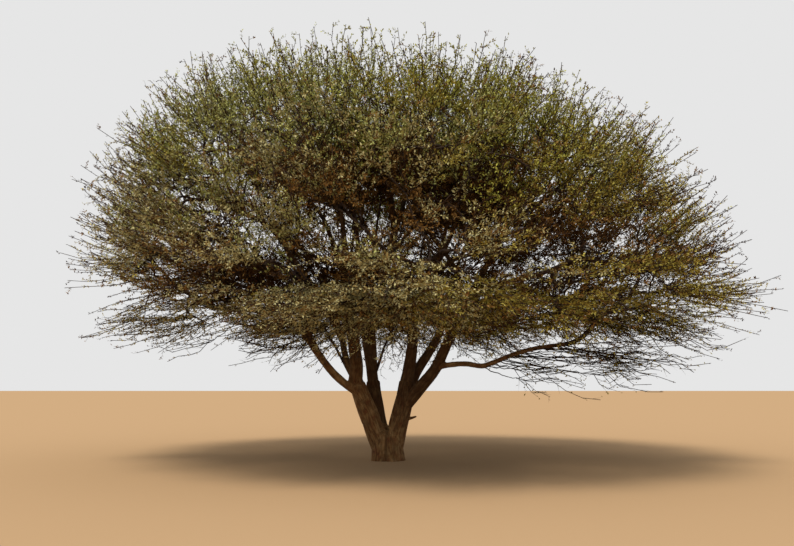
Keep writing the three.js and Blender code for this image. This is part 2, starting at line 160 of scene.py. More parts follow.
STEMS = {
    "stem_left": {
        "through": [(-0.06, 0, 0.15), (-0.27, -0.02, 0.618), (-0.5, -0.075, 1.2), (-0.64, -0.16, 1.56)],
        "radii": [0.235, 0.212, 0.198, 0.168],
    },
    "stem_back": {
        "through": [(-0.09, 0.06, 0.3), (-0.215, 0.13, 0.85), (-0.29, 0.21, 1.3), (-0.325, 0.3, 1.62)],
        "radii": [0.19, 0.18, 0.17, 0.15],
    },
    "stem_right": {
        "through": [(0.06, 0, 0.15), (0.19, 0, 0.618), (0.335, -0.02, 1.2), (0.395, 0, 1.62)],
        "radii": [0.235, 0.205, 0.195, 0.16],
    },
    "broken_stub": {
        "through": [(0.33, -0.06, 0.84), (0.5, -0.085, 0.87), (0.6, -0.09, 0.905)],
        "radii": [0.044, 0.034, 0.02],
    },
}

# The heights between which the bark's painted shade sets in, by limb; a bough has its parent's.
PAINTED_SHADE_HEIGHTS = {"stem_left": (1.3, 2.1), "stem_back": (0, 0.2), "stem_right": (0.5, 1.4)}
LOW_PAINTED_SHADE_HEIGHTS = (1.9, 2.6)
LIMB_STEP = 0.03
CURVE_FINENESS = 40
LIMB_ROUNDNESS = 6
UP = np.array([0.0, 0.0, 1.0])

# The skin's fineness, and the furrows: how far apart, how long and how deep they are on the trunk.
TRUNK_SKIN_GRAIN = 0.013
FORK_SOFTNESS = 0.5
FORK_SOFTENINGS = 8
FURROW_WIDTH = 0.06
FURROW_LENGTH = 0.34
FURROW_DEPTH = 0.016
FURROW_SHARPNESS = 4.5
PLATE_WIDTH = 0.16
PLATE_LENGTH = 0.48
PLATE_DEPTH = 0.012
FULL_DEPTH_RADIUS = 0.19
BARK_SHIFT_BY_LIMB = 7.3
PLACES_AT_ONCE = 4000

# The cleft down the column's front, where the left and right stems have grown together: a groove cut into
# the skin, darkened like a furrow with painted shade.
CLEFT_FOOT_X = -0.045
CLEFT_TOP_X = -0.01
CLEFT_HEIGHT = 0.66
CLEFT_HALF_WIDTH = 0.03
CLEFT_DEPTH = 0.035


def unit(vectors):
    """The same ways with length 1."""
    return vectors / np.linalg.norm(vectors, axis=-1, keepdims=True)


def smooth_line(places, fineness=CURVE_FINENESS):
    """A centripetal Catmull-Rom curve through the places, as a row of close points."""
    places = np.array(places, float)
    knots = np.vstack([2 * places[0] - places[1], places, 2 * places[-1] - places[-2]])
    share = np.linspace(0, 1, fineness + 1)[1:, None]
    line = [places[:1]]
    for a, b, c, d in zip(knots, knots[1:], knots[2:], knots[3:]):
        ab, bc, cd = (math.sqrt(np.linalg.norm(q - p)) for p, q in ((a, b), (b, c), (c, d)))
        leaving = ((b - a) / ab - (c - a) / (ab + bc) + (c - b) / bc) * bc
        arriving = ((c - b) / bc - (d - b) / (bc + cd) + (d - c) / cd) * bc
        square = 3 * (c - b) - 2 * leaving - arriving
        cube = 2 * (b - c) + leaving + arriving
        line.append(b + leaving * share + square * share**2 + cube * share**3)
    return np.vstack(line)


def make_limb(line, radius_at):
    """A limb along a line: its middles, ways along, sides and radii at even steps."""
    run = np.append(0, np.linalg.norm(np.diff(line, axis=0), axis=1).cumsum())
    count = max(2, round(run[-1] / LIMB_STEP))
    along = np.linspace(0, run[-1], count + 1)
    middles = np.column_stack([np.interp(along, run, line[:, axis]) for axis in range(3)])
    ways = unit(np.gradient(middles, axis=0))
    side = np.cross(ways[0], UP if abs(ways[0][2]) < 0.9 else (0, 1, 0))
    sides = []
    for way in ways:
        side = unit(side - way * (side @ way))
        sides.append(side)
    radii = radius_at(along / run[-1])
    return {"middles": middles, "ways": ways, "sides": np.array(sides), "radii": radii, "along": along}


def at_share(limb, share):
    """The place, the way along and the radius at a share of a limb's length."""
    where = share * limb["along"][-1]
    place = np.array([np.interp(where, limb["along"], limb["middles"][:, axis]) for axis in range(3)])
    way = np.array([np.interp(where, limb["along"], limb["ways"][:, axis]) for axis in range(3)])
    return place, unit(way), np.interp(where, limb["along"], limb["radii"])


def rows_of(limbs, key):
    """One value of every step of some limbs, in a row."""
    return np.concatenate([limb[key] for limb in limbs])


def limb_body(name, limb):
    """A closed round tube along a limb."""
    curve = bpy.data.curves.new(name, "CURVE")
    curve.dimensions = "3D"
    curve.bevel_depth = 1.0
    curve.bevel_resolution = LIMB_ROUNDNESS
    curve.use_fill_caps = True
    spline = curve.splines.new("POLY")
    spline.points.add(len(limb["middles"]) - 1)
    spline.points.foreach_set("co", np.column_stack([limb["middles"], limb["radii"] * 0 + 1]).ravel())
    spline.points.foreach_set("radius", limb["radii"])
    body = bpy.data.objects.new(name, curve)
    bpy.context.collection.objects.link(body)
    return body


def one_skin(name, limbs, grain):
    """The limbs grown together under one closed skin of even small faces, with soft forks."""
    bpy.ops.object.select_all(action="DESELECT")
    for number, limb in enumerate(limbs):
        body = limb_body(f"{name}_{number}", limb)
        body.select_set(True)
        bpy.context.view_layer.objects.active = body
    bpy.ops.object.convert(target="MESH")
    bpy.ops.object.join()
    skin = bpy.context.object
    skin.name = name
    growth = skin.modifiers.new("grown together", "REMESH")
    growth.mode = "VOXEL"
    growth.voxel_size = grain
    bpy.ops.object.modifier_apply(modifier=growth.name)
    softening = skin.modifiers.new("soft forks", "SMOOTH")
    softening.factor = FORK_SOFTNESS
    softening.iterations = FORK_SOFTENINGS
    bpy.ops.object.modifier_apply(modifier=softening.name)
    return skin


def read_points(piece, key="co"):
    """The places of a mesh's points, or the ways in which they face."""
    values = np.empty(len(piece.data.vertices) * 3, np.float32)
    piece.data.vertices.foreach_get(key, values)
    return values.reshape(-1, 3).astype(float)


def nearest_limb_point(places, limbs):
    """For each place, the limb and the step on it whose surface is nearest."""
    middles, radii = rows_of(limbs, "middles"), rows_of(limbs, "radii")
    nearest = np.empty(len(places), int)
    for start in range(0, len(places), PLACES_AT_ONCE):
        rows = slice(start, start + PLACES_AT_ONCE)
        some = places[rows]
        square = (some**2).sum(1)[:, None] + (middles**2).sum(1) - 2 * some @ middles.T
        nearest[rows] = (np.sqrt(np.maximum(square, 0)) - radii).argmin(1)
    return nearest


def bark_run(places, limbs):
    """Each place as it would lie if its limb were straight: across, across and along, the limb's radius
    there and the limb's number."""
    nearest = nearest_limb_point(places, limbs)
    middles, ways = rows_of(limbs, "middles")[nearest], rows_of(limbs, "ways")[nearest]
    sides, radii = rows_of(limbs, "sides")[nearest], rows_of(limbs, "radii")[nearest]
    along = np.concatenate([limb["along"] + BARK_SHIFT_BY_LIMB * i for i, limb in enumerate(limbs)])[nearest]
    numbers = np.arange(len(limbs)).repeat([len(limb["radii"]) for limb in limbs])[nearest]
    off = places - middles
    forward = (off * ways).sum(1)
    first = (off * sides).sum(1)
    second = (off * np.cross(ways, sides)).sum(1)
    size = np.maximum(np.hypot(first, second), 1e-6)
    straight = np.column_stack([first / size * radii, second / size * radii, along + forward])
    return straight, radii, numbers


def keep(skin, name, kind, values):
    """Keeps a value of each point of a skin under a name."""
    kept = skin.data.attributes.new(name, kind, "POINT")
    key = "vector" if kind == "FLOAT_VECTOR" else "value"
    kept.data.foreach_set(key, values.astype(np.float32).ravel())


def furrow_bark(skin, limbs):
    """Presses the bark's plates and furrows into a skin, and keeps how each point lies along its limb and
    how much painted shade it gets."""
    places = read_points(skin)
    straight, radii, numbers = bark_run(places, limbs)
    depth = np.minimum(radii / FULL_DEPTH_RADIUS, 1)
    across = straight[:, :2] / FURROW_WIDTH
    furrows = np.column_stack([across, straight[:, 2] / FURROW_LENGTH])
    plates = straight / (PLATE_WIDTH, PLATE_WIDTH, PLATE_LENGTH)
    crack = np.array([1 - min(1, FURROW_SHARPNESS * abs(noise.noise(at))) for at in furrows.tolist()])
    swell = np.array([noise.noise(at) for at in plates.tolist()])
    cleft_x = CLEFT_FOOT_X + (CLEFT_TOP_X - CLEFT_FOOT_X) * places[:, 2] / CLEFT_HEIGHT
    cleft = np.exp(-(((places[:, 0] - cleft_x) / CLEFT_HALF_WIDTH) ** 2))
    cleft *= (places[:, 1] < 0) & (places[:, 2] < CLEFT_HEIGHT)
    shift = (swell * PLATE_DEPTH - crack**2 * FURROW_DEPTH) * depth - cleft * CLEFT_DEPTH
    places += read_points(skin, "normal") * shift[:, None]
    skin.data.vertices.foreach_set("co", places.astype(np.float32).ravel())
    keep(skin, "bark_run", "FLOAT_VECTOR", straight)
    # The cleft is darkened with the furrows: painted shade in the seam.
    keep(skin, "furrow", "FLOAT", np.maximum(crack, cleft))
    # How much painted shade each point gets: a dark brown that sets in with height on its limb.
    shade_foot, shade_full = np.array([limb["painted_shade"] for limb in limbs])[numbers].T
    keep(skin, "painted_shade", "FLOAT", np.clip((places[:, 2] - shade_foot) / (shade_full - shade_foot), 0, 1))
    skin.data.update()


# Acacia bark: dry, corky, matt and grey-brown, nearly black in its furrows and fine cracks, a paler grey on
# weathered plates and reddish where others have flaked. Painted shade turns it a darker brown higher up: on
# the stem at the back from near its foot, on the right stem from knee height, and on the left stem and the
# limbs up under the crown.
BARK_FURROW = "2c1c10"
BARK_BROWN = "7a5937"
BARK_GREY = "8f714b"
BARK_RED = "6f462b"
# Painted shade, laid over the bark higher up on its limbs:
BARK_PAINTED_SHADE = "2b1a0f"
CRACK_SPACING_MM = 30
CRACK_SHORTENING = 0.16
CRACKED = (0.56, 0.36)
CRACK_STRENGTH = 0.8
CRACK_DEPTH = 0.012
FLAKE_SIZE_MM = 140
FLAKED_GREY = (0.46, 0.64)
FLAKED_RED = (0.42, 0.3)
BARK_ROUGHNESS = 0.95
BARK_SPECULAR = 0.15
# How dark the painted shade gets where it is full:
PAINTED_SHADE_SHARE = 0.68
FURROW_SHARE = 0.55
MIX_SHARE, MIX_FIRST, MIX_SECOND, MIX_RESULT = 0, 6, 7, 2


def mix_colors(material, share, first, second):
    """A mix of two colours, each a value or another node's output."""
    inputs = {MIX_SHARE: share, MIX_FIRST: first, MIX_SECOND: second}
    return add_node(material, "ShaderNodeMix", inputs, data_type="RGBA").outputs[MIX_RESULT]


def patches_of(material, where, size_mm, detail):
    """Cloudy patches of a size, as a value from 0 to 1."""
    inputs = {"Vector": where, "Scale": 1000 / size_mm, "Detail": detail}
    return add_node(material, "ShaderNodeTexNoise", inputs).outputs["Fac"]


def share_between(material, value, limits):
    """How far a value has come from the first limit to the second, from 0 to 1."""
    inputs = {"Value": value, "From Min": limits[0], "From Max": limits[1]}
    return add_node(material, "ShaderNodeMapRange", inputs).outputs["Result"]


def combined(material, operation, first, second):
    """The result of a sum with two values, kept between 0 and 1."""
    inputs = {0: first, 1: second}
    return add_node(material, "ShaderNodeMath", inputs, operation=operation, use_clamp=True).outputs[0]


def make_bark():
    """The bark's material, by what each point keeps of its run, its furrow and its painted shade."""
    material, shader = new_material("acacia bark")
    run = add_node(material, "ShaderNodeAttribute", attribute_name="bark_run").outputs["Vector"]
    furrow = add_node(material, "ShaderNodeAttribute", attribute_name="furrow").outputs["Fac"]
    painted_shade = add_node(material, "ShaderNodeAttribute", attribute_name="painted_shade").outputs["Fac"]
    lengthwise = {"Vector": run, "Scale": (1, 1, CRACK_SHORTENING)}
    stretched = add_node(material, "ShaderNodeMapping", lengthwise).outputs["Vector"]
    cracks = patches_of(material, stretched, CRACK_SPACING_MM, 4.0)
    flakes = patches_of(material, run, FLAKE_SIZE_MM, 3.0)
    grey = share_between(material, flakes, FLAKED_GREY)
    red = share_between(material, flakes, FLAKED_RED)
    cracked = share_between(material, cracks, CRACKED)
    plates = mix_colors(material, grey, linear(BARK_BROWN), linear(BARK_GREY))
    flaked = mix_colors(material, red, plates, linear(BARK_RED))
    # Painted shade: a dark brown laid over the bark, more of it higher up.
    shade_amount = combined(material, "MULTIPLY", painted_shade, PAINTED_SHADE_SHARE)
    shaded_bark = mix_colors(material, shade_amount, flaked, linear(BARK_PAINTED_SHADE))
    deep = combined(material, "MAXIMUM", cracked, furrow)
    furrow_share = combined(material, "MULTIPLY", deep, FURROW_SHARE)
    color = mix_colors(material, furrow_share, shaded_bark, linear(BARK_FURROW))
    raised = {"Height": cracks, "Strength": CRACK_STRENGTH, "Distance": CRACK_DEPTH}
    relief = add_node(material, "ShaderNodeBump", raised).outputs["Normal"]
    material.node_tree.links.new(color, shader.inputs["Base Color"])
    material.node_tree.links.new(relief, shader.inputs["Normal"])
    make_matt(shader, BARK_ROUGHNESS, BARK_SPECULAR)
    return material


bark = make_bark()


def column_radius(share):
    """The column's radius at a share of its height, flared at the foot and domed at the top."""
    height = np.maximum(share * (COLUMN_HEIGHT + COLUMN_FOOT) - COLUMN_FOOT, 0)
    dome = np.sqrt(1 - COLUMN_DOME_DEPTH * (height / COLUMN_HEIGHT) ** COLUMN_DOME)
    return COLUMN_RADIUS * dome + FLARE_RADIUS * np.exp(-height / FLARE_HEIGHT)


def evenly(radii):
    """Radii given at even shares of a limb's length."""
    return lambda share: np.interp(share, np.linspace(0, 1, len(radii)), radii)


def finish_piece(piece, material, slot, *nodes):
    """The piece's finish, what it rides on and the solids that it stands for."""
    piece.data.materials.clear()
    piece.data.materials.append(material)
    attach(piece, "root")
    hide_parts(*nodes)


column_line = np.array([(0, 0, -COLUMN_FOOT), (COLUMN_LEAN, 0, COLUMN_HEIGHT)])
limbs = {"column": make_limb(column_line, column_radius)}
for name, stem in STEMS.items():
    limbs[name] = make_limb(smooth_line(stem["through"]), evenly(stem["radii"]))
# Each limb's painted shade sets in between two heights.
for name, limb in limbs.items():
    limb["painted_shade"] = PAINTED_SHADE_HEIGHTS.get(name, LOW_PAINTED_SHADE_HEIGHTS)
trunk_limbs = list(limbs.values())

trunk = one_skin("trunk_bark", trunk_limbs, TRUNK_SKIN_GRAIN)
places = read_points(trunk)
off_axis = np.hypot(places[:, 0], places[:, 1])
around = np.arctan2(places[:, 1], places[:, 0])
fading = np.exp(-np.maximum(places[:, 2], 0) / FLARE_HEIGHT)
wider = 1 + RIDGE_DEPTH * np.cos(ROOT_RIDGES * around) * fading / np.maximum(off_axis, COLUMN_RADIUS)
places[:, :2] *= wider[:, None]
trunk.data.vertices.foreach_set("co", places.astype(np.float32).ravel())
trunk.data.update()
furrow_bark(trunk, trunk_limbs)
bpy.ops.object.mode_set(mode="EDIT")
bpy.ops.mesh.select_all(action="SELECT")
bpy.ops.mesh.bisect(plane_co=(0, 0, 0), plane_no=(0, 0, 1), use_fill=True, clear_inner=True)
bpy.ops.object.mode_set(mode="OBJECT")
finish_piece(trunk, bark, "bark", "trunk")


# The boughs: eleven leading ones go on from the stems or leave their flanks, two of them long and low in
# two lengths, and side boughs leave these for the rest of the crown. Each is one tapering limb that grows
# out of its parent's wood, under the same bark, and ends where it enters its mass of foliage.
HEART = np.array([0.3, 0, 3.2])
REACH_RIGHT = 7.2
REACH_LEFT = 7.0
REACH_DEPTH = 6.7
REACH_TOP = 5.0
REACH_UNDER = 1.3
SHOULDER_RIGHT = 2.1
SHOULDER_LEFT = 2.9
BRIM_RISE_RIGHT = math.radians(-2.5)
BRIM_RISE_LEFT = math.radians(1)

TIERS = [
    {"name": "top", "rise": 90, "count": 1, "turn": 0},
    {"name": "upper", "rise": 56, "count": 6, "turn": 20},
    {"name": "middle", "rise": 28, "count": 8, "turn": 10},
    {"name": "low", "rise": 5, "count": 9, "turn": -8},
]
SITE_SHARE = 0.62
BOUGH_TIP_SHARE = 0.42
BOUGH_TIP_RADIUS = 0.046

LEADING_BOUGHS = {
    "upper_4": {"from": "stem_left", "through": [(-0.65, -0.3, 1.93), (-0.7, -0.5, 2.394)], "radius": 0.158},
    "upper_3": {"from": "stem_back", "through": [(-0.4, 0.46, 2.1), (-0.49, 0.7, 2.6)], "radius": 0.128},
    "upper_1": {
        "from": "stem_right",
        "through": [(0.465, 0.05, 2), (0.525, 0.08, 2.45), (0.54, 0.1, 2.9)],
        "radius": 0.145,
    },
    "middle_8": {
        "from": "stem_right",
        "at": 0.62,
        "through": [(0.717, -0.2, 1.55), (0.985, -0.3, 1.88), (1.16, -0.42, 2.25)],
        "radius": 0.15,
    },
    "top": {
        "from": "stem_back",
        "at": 0.8,
        "through": [(-0.31, 0.42, 2.15), (-0.33, 0.45, 2.9)],
        "radius": 0.085,
    },
    "middle_2": {
        "from": "stem_right",
        "at": 0.72,
        "through": [(0.62, 0.3, 1.85), (0.85, 0.4, 2.2), (1.08, 0.55, 2.58)],
        "radius": 0.128,
    },
    "low_6_inner": {
        "from": "stem_left",
        "at": 0.82,
        "through": [(-1.12, -0.43, 1.794), (-1.53, -0.6, 2.34), (-1.82, -0.68, 2.72), (-2.2, -0.75, 2.95)],
        "radius": 0.09,
        "tip_radius": 0.07,
    },
    "low_6": {"from": "low_6_inner", "through": [(-2.7, -0.82, 3.05), (-3.5, -0.93, 3.08)], "radius": 0.07},
    "middle_5": {
        "from": "stem_left",
        "at": 0.9,
        "through": [(-0.877, -0.1, 2.092), (-0.97, 0, 2.5), (-1.05, 0, 2.8)],
        "radius": 0.082,
    },
    "low_1_inner": {
        "from": "middle_8",
        "at": 0.25,
        "through": [(1.094, -0.38, 1.925), (1.594, -0.5, 1.981), (1.94, -0.57, 1.935), (2.14, -0.6, 2)],
        "radius": 0.064,
        "tip_radius": 0.056,
    },
    "low_1": {
        "from": "low_1_inner",
        "through": [(2.71, -0.68, 2.218), (3.14, -0.72, 2.31), (3.6, -0.76, 2.37)],
        "radius": 0.055,
    },
}
LIMBS_TO_THEIR_OWN_TIP = ["low_6_inner", "low_6", "low_1_inner", "low_1"]
SIDE_BOUGH_SHARE = 0.62
SIDE_BOUGH_LEAST = 1.25
SIDE_BOUGH_FEET = np.arange(0.3, 0.9, 0.1)
SIDE_BOUGH_ANGLE = math.radians(42)
ANGLE_COST = 1.5
SIDE_BOUGH_RUN_ON = 0.2
SIDE_BOUGH_TURN = 0.25
BOUGH_SKIN_GRAIN = 0.022
ROOT_SUNK = 0.12


def outward(azimuth, rise):
    """The way out from the heart, by the angle round from +X and the rise above level."""
    return np.stack([np.cos(rise) * np.cos(azimuth), np.cos(rise) * np.sin(azimuth), np.sin(rise)], axis=-1)


def brim_rise(azimuth):
    """The rise at which the crown is widest."""
    return BRIM_RISE_LEFT + (BRIM_RISE_RIGHT - BRIM_RISE_LEFT) * (1 + np.cos(azimuth)) / 2


def reach(azimuth, rise):
    """How far the crown's skin stands from the heart."""
    across = np.where(np.cos(azimuth) > 0, REACH_RIGHT, REACH_LEFT)
    level = 1 / np.hypot(np.cos(azimuth) / across, np.sin(azimuth) / REACH_DEPTH)
    power = SHOULDER_LEFT + (SHOULDER_RIGHT - SHOULDER_LEFT) * (1 + np.cos(azimuth)) / 2
    over = rise - brim_rise(azimuth)
    high = np.where(over > 0, REACH_TOP, REACH_UNDER)
    total = (np.abs(np.cos(over)) / level) ** power + (np.abs(np.sin(over)) / high) ** power
    return total ** (-1 / power)


def crown_point(azimuth, rise, share):
    """The place at a share of the way from the heart to the skin."""
    return HEART + outward(azimuth, rise) * (reach(azimuth, rise) * share)[..., None]


masses = {}
for tier in TIERS:
    for i in range(tier["count"]):
        azimuth = np.array(math.radians(tier["turn"] + i * 360 / tier["count"]))
        rise = math.radians(tier["rise"])
        name = tier["name"] if tier["count"] == 1 else f"{tier['name']}_{i + 1}"
        masses[name] = {
            "site": crown_point(azimuth, rise, SITE_SHARE),
            "bough_tip": crown_point(azimuth, rise, BOUGH_TIP_SHARE),
            "ends": [],
        }


def make_bough(name, parent, through, radius, at=1, tip_radius=BOUGH_TIP_RADIUS):
    """A tapering bough that goes on from its parent's end or leaves its flank."""
    start, heading, _ = at_share(limbs[parent], at)
    places = [np.array(place) for place in through]
    if name not in LIMBS_TO_THEIR_OWN_TIP:
        places.append(masses[name]["bough_tip"])
    if at == 1:
        places.insert(0, start + heading * radius / 2)
    line = smooth_line([start, *places])
    limbs[name] = make_limb(line, evenly([radius, tip_radius]))
    limbs[name]["parent"] = parent
    # Its painted shade: the low boughs' own heights, or its parent's.
    limbs[name]["painted_shade"] = LOW_PAINTED_SHADE_HEIGHTS if name in LIMBS_TO_THEIR_OWN_TIP else limbs[parent]["painted_shade"]


for name, bough in LEADING_BOUGHS.items():
    rest = {key: value for key, value in bough.items() if key != "from"}
    make_bough(name, bough["from"], **rest)

leading = list(LEADING_BOUGHS)
for name, mass in masses.items():
    if name in limbs:
        continue
    best = None
    for parent in leading:
        for at in SIDE_BOUGH_FEET:
            start, heading, radius = at_share(limbs[parent], at)
            way = mass["bough_tip"] - start
            length = np.linalg.norm(way)
            angle = math.acos(min(1, way @ heading / length))
            cost = length * (1 + ANGLE_COST * abs(angle - SIDE_BOUGH_ANGLE))
            if best is None or cost < best["cost"]:
                bend = start + heading * length * SIDE_BOUGH_RUN_ON + way * SIDE_BOUGH_TURN
                best = {"cost": cost, "parent": parent, "at": at, "bend": bend, "radius": radius}
    radius = max(best["radius"] * SIDE_BOUGH_SHARE, BOUGH_TIP_RADIUS * SIDE_BOUGH_LEAST)
    make_bough(name, best["parent"], [best["bend"]], radius, best["at"])

bough_names = [name for name in limbs if "parent" in limbs[name]]
bough_limbs = [limbs[name] for name in bough_names]


def sunk(limb):
    """The limb with its foot run back into its parent's wood."""
    foot = limb["middles"][0] - limb["ways"][0] * ROOT_SUNK
    line = np.vstack([foot, limb["middles"]])
    radii = limb["radii"]
    return make_limb(line, lambda share: np.interp(share, (0, 1), (radii[0], radii[-1])))


boughs = one_skin("bough_bark", [sunk(limb) for limb in bough_limbs], BOUGH_SKIN_GRAIN)
furrow_bark(boughs, bough_limbs)
finish_piece(boughs, bark, "bark", *(f"bough_{name}" for name in bough_names))


# The twigs: the woody frame inside each mass. From the tip of its bough a stem bends towards the mass's
# twig ends and parts, and each part runs on and forks again, always between the two ends that stand
# furthest apart, thinner at each fork, until one twig reaches one end.
TWIG_ENDS = 1400
SKIN_ENDS_SHARE = 0.54
INSIDE_FROM = 0.5
INSIDE_TO = 0.92
TIER_CROWDING = 1.22
BELOW_BRIM = math.radians(2)
LEFT_BRIM_LIFT = math.radians(7)
RIGHT_BRIM_LIFT = math.radians(3)
TWIG_RADIUS = 0.0095
TWIG_TIP_SHARE = 0.6
FORK_POWER = 1 / 2.3
FORK_REACH = 0.42
SPACE_MARGIN = 0.012
STEM_STEPS = 9
STEM_RUN_ON = 0.12
STEM_SUNK = 0.02
STEM_END_SHARE = 0.8
FIRST_TWIG_SHARE = 0.7
TWIG_SIDES = 4
TWIG_FINENESS = 3
TWIG_WOBBLE = 0.012

# How far inside the skin an end stands, to leave room for its shoots, and how much deeper by side and rise.
SPRAY_REACH = 1.22
TUCK_RISES = np.radians([-5, 2, 6, 12, 20, 34, 50, 65, 90])
TUCKS = {
    "right": [0.15, 0.2, 0.35, 0.35, 0.3, 0.15, 0.0, 0.35, 0.55],
    "left": [0.45, 0.4, 0.35, 0.35, 0.3, 0.1, -0.45, 0.1, 0.5],
    "back": [0, 0, 0, 0, 0, 0, 0.05, 0.2, 0.5],
    "front": [0, 0, 0.6, 0.6, 0.1, 0, 0.05, 0.25, 0.5],
}

# The ends gather in clumps, with darker gaps between them.
CLUMPS = 150
CLUMP_SHARE = 0.84
CLUMP_PULL = 0.2
CLUMP_LEVELLING = 0.6
GOLDEN_ANGLE = math.pi * (3 - math.sqrt(5))

# More ends under the crown. Each row: the way they stand and how widely in degrees, how many, how far out as
# a share of the crown's reach, how far below its brim, and how bare of leaves they are.
UNDERSIDE_TWIGS = [
    (0, 100, 36, (0.3, 0.72), (-0.25, 0.1), 0),
    (85, 90, 84, (0.25, 0.84), (-0.3, 0.2), 0),
    (-90, 80, 40, (0.35, 0.8), (-0.1, 0.45), 0),
    (-90, 44, 50, (0.2, 0.7), (-0.2, 0.4), 0),
    (205, 60, 10, (0.25, 0.45), (0.1, 0.5), 0),
    (200, 50, 22, (0.42, 0.76), (-0.3, 0.1), 0),
    (-12, 22, 18, (0.52, 0.78), (0.15, 0.4), 0.7),
    (186, 14, 14, (0.55, 0.8), (0.3, 0.6), 0.5),
    (80, 190, 34, (0.15, 0.45), (0.3, 0.75), 0.9),
    (200, 60, 10, (0.2, 0.35), (0.4, 0.9), 0.85),
]

# Bare twigs that leave the boughs themselves: they fall away at first and then level out. Each row: the
# bough, from which share of its length to which they leave it, how many, their length, fall and spread.
TRAILING_TWIGS = [
    ("low_1_inner", 0.8, 1, 4, 0.9, 0.4, 45),
    ("low_1", 0.05, 1, 20, 1.9, 0.15, 42),
    ("low_6", 0.5, 0.6, 1, 0.9, 0.9, 10),
    ("low_6_inner", 0.6, 0.95, 7, 0.45, 0.3, 40),
    ("middle_8", 0.5, 0.95, 6, 0.8, 0.35, 45),
]
TRAILING_RADIUS = 0.011
TRAILING_TIP_RADIUS = 0.006
TRAILING_KNOTS = 5
TRAILING_CURL = 0.75
TRAILING_FALLS = (0.2, 1.8)
TRAILING_LENGTHS = (0.5, 1.1)

# Limbs too thin to be boughs: two under the crown and four upright ones that show in its gaps.
THIN_LIMBS = [
    [(-0.8, -0.12, 1.78), (-0.97, -0.12, 2.1), (-1.16, -0.1, 2.44), (-1.37, -0.1, 2.8)],
    [(-0.29, 0.35, 1.75), (-0.2, 0.35, 2.0), (-0.1, 0.36, 2.32), (0.03, 0.36, 2.62), (0.2, 0.36, 2.9)],
    [(-0.72, -0.5, 2.4), (-0.76, -0.6, 3.0), (-0.8, -0.7, 3.8), (-0.7, -0.75, 4.7), (-0.75, -0.8, 5.4)],
    [(-0.35, 0.4, 2.6), (-0.24, 0.2, 3.3), (-0.2, 0, 4.0), (-0.25, -0.1, 4.8), (-0.15, -0.2, 5.5)],
    [(0.52, 0.05, 2.4), (0.25, -0.1, 3.2), (0.12, -0.2, 4.0), (0.18, -0.3, 4.8), (0.1, -0.4, 5.5)],
    [(0.54, 0.1, 2.9), (0.66, -0.1, 3.6), (0.7, -0.2, 4.3), (0.85, -0.3, 5.0), (0.9, -0.3, 5.6)],
]
THIN_LIMB_RADII = (0.03, 0.024)

# The gap between the tiers that runs through the crown above its front sprays, from front to back.
GAP_FRONT = np.array([-0.3, -6.5, 3.6])
GAP_BACK = np.array([-0.7, 6.5, 5.7])
GAP_HALF_SIZE = np.array([0.75, 1, 0.42])
GAP_BARENESS = 0.5

growth = np.random.default_rng(5)
limb_middles = rows_of(limbs.values(), "middles")
limb_radii = rows_of(limbs.values(), "radii")
sites = np.array([mass["site"] for mass in masses.values()])
mass_names = list(masses)


def in_gap(end):
    """True in the gap that runs through the crown."""
    share = (end[1] - GAP_FRONT[1]) / (GAP_BACK[1] - GAP_FRONT[1])
    off = np.abs(end - GAP_FRONT - (GAP_BACK - GAP_FRONT) * share) / GAP_HALF_SIZE
    return max(off[0], off[2]) < 1


def deal_to(end, bare=0.0):
    """Gives a twig end to the mass whose middle is nearest."""
    if in_gap(end) and growth.random() < GAP_BARENESS:
        return
    nearest = np.linalg.norm(sites - end, axis=1).argmin()
    masses[mass_names[nearest]]["ends"].append(np.append(end, bare))


def dealt_ways(count):
    """Ways out from the heart, dealt evenly over the crown by the golden angle."""
    azimuth = np.arange(count) * GOLDEN_ANGLE
    height = ((np.arange(count) + 0.5) / count) ** TIER_CROWDING
    across = np.cos(azimuth)
    lift = LEFT_BRIM_LIFT * np.maximum(0, -across) + RIGHT_BRIM_LIFT * np.maximum(0, across)
    lowest = np.sin(brim_rise(azimuth) - BELOW_BRIM + lift)
    return azimuth, np.arcsin(lowest + (1 - lowest) * height)


def tucked(azimuth, rise):
    """How much deeper than elsewhere an end stands, by the side it is on and its rise."""
    across, behind = math.cos(azimuth), math.sin(azimuth)
    shares = {"right": across, "left": -across, "back": behind, "front": -behind}
    shares = {side: max(0, share) for side, share in shares.items()}
    depth = sum(shares[side] * np.interp(rise, TUCK_RISES, TUCKS[side]) for side in TUCKS)
    return depth / sum(shares.values())


clump_azimuth, clump_rise = dealt_ways(CLUMPS)
clumps = crown_point(clump_azimuth, clump_rise, CLUMP_SHARE)


def gathered(end):
    """The end drawn sideways towards the middle of the nearest clump."""
    out = unit(end - HEART)
    way = clumps[np.linalg.norm(clumps - end, axis=1).argmin()] - end
    way -= out * (way @ out)
    return end + way * CLUMP_PULL + UP * way[2] * CLUMP_LEVELLING * (1 - abs(out[2]))


for azimuth, rise in zip(*dealt_ways(TWIG_ENDS)):
    share = 1.0
    if growth.random() > SKIN_ENDS_SHARE:
        share = growth.uniform(INSIDE_FROM, INSIDE_TO)
    depth = SPRAY_REACH + tucked(azimuth, rise)
    end = crown_point(azimuth, rise, np.array(share)) - outward(azimuth, rise) * depth
    deal_to(gathered(end))

for turn, spread, count, shares, drops, bareness in UNDERSIDE_TWIGS:
    for i in range(count):
        azimuth = np.radians(turn + spread * (growth.random() - 0.5))
        end = crown_point(azimuth, brim_rise(azimuth), np.interp((i + 0.5) / count, (0, 1), shares))
        end[2] -= growth.uniform(*drops)
        deal_to(end, bareness)


def inside_space(point, name):
    """True where a point is nearer to its own mass's middle than to any other's."""
    own = sites[mass_names.index(name)]
    others = np.delete(sites, mass_names.index(name), axis=0)
    apart = np.linalg.norm(others - own, axis=1)
    nearer = ((point - others) ** 2).sum(1) - ((point - own) ** 2).sum()
    return (nearer / (2 * apart)).min() > SPACE_MARGIN


